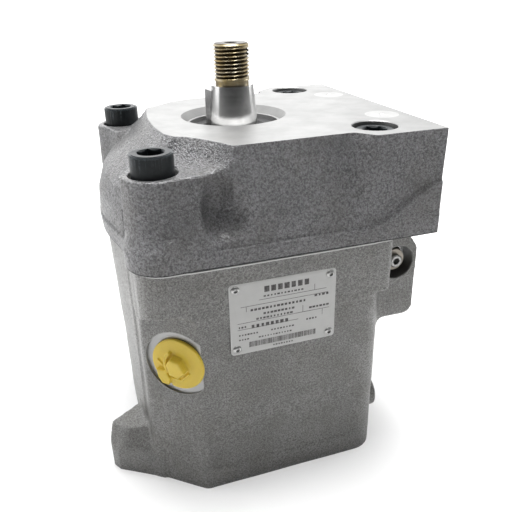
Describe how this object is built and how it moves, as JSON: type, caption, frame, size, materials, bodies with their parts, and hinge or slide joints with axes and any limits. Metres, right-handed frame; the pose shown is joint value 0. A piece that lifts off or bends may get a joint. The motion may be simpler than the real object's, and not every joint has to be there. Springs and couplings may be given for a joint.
{
  "type": "axial piston pump",
  "caption": "Variable swash plate axial piston pump standing on its rear end, with a keyed taper shaft, two castings, side ports and a drain port with a transport plug.",
  "frame": {"origin": "on the shaft axis at the flat base face", "axes": "+Z along the shaft towards its drive end, +X towards the port face, -Y towards the nameplate face"},
  "size_m": [0.188, 0.1581, 0.2401],
  "materials": {
    "casting_iron": "fine sand-cast iron under a thin dark primer, machined faces bright",
    "gasket_dark": "dark flat gasket",
    "screw_black": "black oxide",
    "steel_ground": "ground and turned steel",
    "bearing_steel": "ground bearing steel",
    "seal_rubber": "nitrile rubber",
    "barrel_bronze": "bronze running faces",
    "barrel_steel": "nitrided steel",
    "spring_steel": "oil-tempered spring wire",
    "plug_yellow": "soft yellow plastic",
    "plate_silver": "printed aluminium sheet",
    "rivet_metal": "plain drive rivets",
    "piston_steel": "ground and hardened",
    "slipper_brass": "pressed brass"
  },
  "bodies": {
    "root": {"housing": "casting_iron", "port_block": "casting_iron", "casing_gasket": "gasket_dark", "cover_screws": "screw_black", "locating_pins": "steel_ground", "gallery_plugs": "steel_ground", "drain_plug": "plug_yellow", "nameplate": "plate_silver", "nameplate_rivets": "rivet_metal", "shaft_seal": "seal_rubber", "upper_bearing_cup": "bearing_steel", "lower_bearing_cup": "bearing_steel", "valve_plate": "barrel_bronze", "cradle_bearings": "barrel_bronze", "stroking_sleeve": "steel_ground", "bias_spring": "spring_steel", "control_gland": "steel_ground", "lock_nut": "steel_ground", "control_spring": "spring_steel", "control_end_plug": "steel_ground"},
    "shaft": {"drive_shaft": "steel_ground", "shaft_key": "steel_ground", "upper_bearing_cone": "bearing_steel", "lower_bearing_cone": "bearing_steel", "barrel": "barrel_steel", "barrel_pins": "steel_ground", "barrel_spring": "spring_steel", "spring_washers": "steel_ground", "barrel_snap_ring": "spring_steel", "retainer_ball": "steel_ground"},
    "upper_rollers": {"upper_bearing_rollers": "bearing_steel", "upper_bearing_cage": "bearing_steel"},
    "lower_rollers": {"lower_bearing_rollers": "bearing_steel", "lower_bearing_cage": "bearing_steel"},
    "swash": {"swash_plate": "steel_ground"},
    "retainer": {"retainer_plate": "steel_ground"},
    "stroking": {"stroking_piston": "steel_ground"},
    "bias": {"bias_piston": "steel_ground"},
    "spool": {"control_spool": "steel_ground"},
    "seat": {"spring_seat": "steel_ground"},
    "adjuster": {"adjusting_screw": "steel_ground"},
    "slipper_1": {"slipper_1": "slipper_brass"},
    "piston_1": {"piston_1": "piston_steel"},
    "slipper_2": {"slipper_2": "slipper_brass"},
    "piston_2": {"piston_2": "piston_steel"},
    "slipper_3": {"slipper_3": "slipper_brass"},
    "piston_3": {"piston_3": "piston_steel"},
    "slipper_4": {"slipper_4": "slipper_brass"},
    "piston_4": {"piston_4": "piston_steel"},
    "slipper_5": {"slipper_5": "slipper_brass"},
    "piston_5": {"piston_5": "piston_steel"},
    "slipper_6": {"slipper_6": "slipper_brass"},
    "piston_6": {"piston_6": "piston_steel"},
    "slipper_7": {"slipper_7": "slipper_brass"},
    "piston_7": {"piston_7": "piston_steel"},
    "slipper_8": {"slipper_8": "slipper_brass"},
    "piston_8": {"piston_8": "piston_steel"},
    "slipper_9": {"slipper_9": "slipper_brass"},
    "piston_9": {"piston_9": "piston_steel"}
  },
  "joints": [
    {"name": "shaft_spin", "type": "hinge", "parent": "root", "child": "shaft", "pos_m": [0, 0, 0.1], "axis": [0, 0, 1], "continuous": true},
    {"name": "swash_tilt", "type": "hinge", "parent": "root", "child": "swash", "pos_m": [0, 0, 0.058], "axis": [0, 1, 0], "range_deg": [-15, 0], "stiffness_Nm_per_rad": 60, "springref_deg": 8.59},
    {"name": "retainer_spin", "type": "hinge", "parent": "swash", "child": "retainer", "pos_m": [0, 0, 0.058], "axis": [0.2588, 0, 0.9659], "continuous": true},
    {"name": "upper_roller_orbit", "type": "hinge", "parent": "root", "child": "upper_rollers", "pos_m": [0, 0, 0.17], "axis": [0, 0, 1], "continuous": true},
    {"name": "lower_roller_orbit", "type": "hinge", "parent": "root", "child": "lower_rollers", "pos_m": [0, 0, 0.017], "axis": [0, 0, 1], "continuous": true},
    {"name": "slipper_1_turn", "type": "hinge", "parent": "retainer", "child": "slipper_1", "pos_m": [0.03538, 0, 0.04852], "axis": [0.2588, 0, 0.9659], "continuous": true},
    {"name": "piston_1_ball", "type": "hinge", "parent": "slipper_1", "child": "piston_1", "pos_m": [0.03538, 0, 0.04852], "axis": [0, 1, 0], "range_deg": [-0.5, 15.5]},
    {"name": "slipper_2_turn", "type": "hinge", "parent": "retainer", "child": "slipper_2", "pos_m": [0.0271, 0.02354, 0.05074], "axis": [0.2588, 0, 0.9659], "continuous": true},
    {"name": "piston_2_ball", "type": "hinge", "parent": "slipper_2", "child": "piston_2", "pos_m": [0.0271, 0.02354, 0.05074], "axis": [0, 1, 0], "range_deg": [-0.5, 15.5]},
    {"name": "slipper_3_turn", "type": "hinge", "parent": "retainer", "child": "slipper_3", "pos_m": [0.00614, 0.03607, 0.05635], "axis": [0.2588, 0, 0.9659], "continuous": true},
    {"name": "piston_3_ball", "type": "hinge", "parent": "slipper_3", "child": "piston_3", "pos_m": [0.00614, 0.03607, 0.05635], "axis": [0, 1, 0], "range_deg": [-0.5, 15.5]},
    {"name": "slipper_4_turn", "type": "hinge", "parent": "retainer", "child": "slipper_4", "pos_m": [-0.01769, 0.03172, 0.06274], "axis": [0.2588, 0, 0.9659], "continuous": true},
    {"name": "piston_4_ball", "type": "hinge", "parent": "slipper_4", "child": "piston_4", "pos_m": [-0.01769, 0.03172, 0.06274], "axis": [0, 1, 0], "range_deg": [-0.5, 15.5]},
    {"name": "slipper_5_turn", "type": "hinge", "parent": "retainer", "child": "slipper_5", "pos_m": [-0.03324, 0.01253, 0.06691], "axis": [0.2588, 0, 0.9659], "continuous": true},
    {"name": "piston_5_ball", "type": "hinge", "parent": "slipper_5", "child": "piston_5", "pos_m": [-0.03324, 0.01253, 0.06691], "axis": [0, 1, 0], "range_deg": [-0.5, 15.5]},
    {"name": "slipper_6_turn", "type": "hinge", "parent": "retainer", "child": "slipper_6", "pos_m": [-0.03324, -0.01253, 0.06691], "axis": [0.2588, 0, 0.9659], "continuous": true},
    {"name": "piston_6_ball", "type": "hinge", "parent": "slipper_6", "child": "piston_6", "pos_m": [-0.03324, -0.01253, 0.06691], "axis": [0, 1, 0], "range_deg": [-0.5, 15.5]},
    {"name": "slipper_7_turn", "type": "hinge", "parent": "retainer", "child": "slipper_7", "pos_m": [-0.01769, -0.03172, 0.06274], "axis": [0.2588, 0, 0.9659], "continuous": true},
    {"name": "piston_7_ball", "type": "hinge", "parent": "slipper_7", "child": "piston_7", "pos_m": [-0.01769, -0.03172, 0.06274], "axis": [0, 1, 0], "range_deg": [-0.5, 15.5]},
    {"name": "slipper_8_turn", "type": "hinge", "parent": "retainer", "child": "slipper_8", "pos_m": [0.00614, -0.03607, 0.05635], "axis": [0.2588, 0, 0.9659], "continuous": true},
    {"name": "piston_8_ball", "type": "hinge", "parent": "slipper_8", "child": "piston_8", "pos_m": [0.00614, -0.03607, 0.05635], "axis": [0, 1, 0], "range_deg": [-0.5, 15.5]},
    {"name": "slipper_9_turn", "type": "hinge", "parent": "retainer", "child": "slipper_9", "pos_m": [0.0271, -0.02354, 0.05074], "axis": [0.2588, 0, 0.9659], "continuous": true},
    {"name": "piston_9_ball", "type": "hinge", "parent": "slipper_9", "child": "piston_9", "pos_m": [0.0271, -0.02354, 0.05074], "axis": [0, 1, 0], "range_deg": [-0.5, 15.5]},
    {"name": "stroking_slide", "type": "slide", "parent": "root", "child": "stroking", "axis": [0, 0, -1], "range_m": [0, 0.01666]},
    {"name": "bias_slide", "type": "slide", "parent": "root", "child": "bias", "axis": [0, 0, 1], "range_m": [0, 0.01687], "deforming": ["bias_spring"]},
    {"name": "spool_slide", "type": "slide", "parent": "root", "child": "spool", "axis": [0, -1, 0], "range_m": [0, 0.003], "stiffness_N_per_m": 12000, "springref_m": -0.002, "deforming": ["control_spring"]},
    {"name": "seat_slide", "type": "slide", "parent": "root", "child": "seat", "axis": [0, 1, 0], "range_m": [-0.00125, 0.00125]},
    {"name": "adjuster_turn", "type": "hinge", "parent": "seat", "child": "adjuster", "pos_m": [0.0785, -0.05, 0.12], "axis": [0, 1, 0], "range_deg": [-362, 362]}
  ],
  "couplings": [
    {"joint": "retainer_spin", "follows": "shaft_spin", "ratio": 1},
    {"joint": "upper_roller_orbit", "follows": "shaft_spin", "ratio": 0.43},
    {"joint": "lower_roller_orbit", "follows": "shaft_spin", "ratio": 0.43},
    {"joint": "slipper_1_turn", "follows": "shaft_spin", "ratio": -1},
    {"joint": "piston_1_ball", "follows": "swash_tilt", "ratio": -1},
    {"joint": "slipper_2_turn", "follows": "shaft_spin", "ratio": -1},
    {"joint": "piston_2_ball", "follows": "swash_tilt", "ratio": -1},
    {"joint": "slipper_3_turn", "follows": "shaft_spin", "ratio": -1},
    {"joint": "piston_3_ball", "follows": "swash_tilt", "ratio": -1},
    {"joint": "slipper_4_turn", "follows": "shaft_spin", "ratio": -1},
    {"joint": "piston_4_ball", "follows": "swash_tilt", "ratio": -1},
    {"joint": "slipper_5_turn", "follows": "shaft_spin", "ratio": -1},
    {"joint": "piston_5_ball", "follows": "swash_tilt", "ratio": -1},
    {"joint": "slipper_6_turn", "follows": "shaft_spin", "ratio": -1},
    {"joint": "piston_6_ball", "follows": "swash_tilt", "ratio": -1},
    {"joint": "slipper_7_turn", "follows": "shaft_spin", "ratio": -1},
    {"joint": "piston_7_ball", "follows": "swash_tilt", "ratio": -1},
    {"joint": "slipper_8_turn", "follows": "shaft_spin", "ratio": -1},
    {"joint": "piston_8_ball", "follows": "swash_tilt", "ratio": -1},
    {"joint": "slipper_9_turn", "follows": "shaft_spin", "ratio": -1},
    {"joint": "piston_9_ball", "follows": "swash_tilt", "ratio": -1},
    {"joint": "stroking_slide", "follows": "swash_tilt", "m_per_rad": -0.063564},
    {"joint": "bias_slide", "follows": "swash_tilt", "m_per_rad": -0.064372},
    {"joint": "adjuster_turn", "follows": "seat_slide", "rad_per_m": 5026.5}
  ]
}
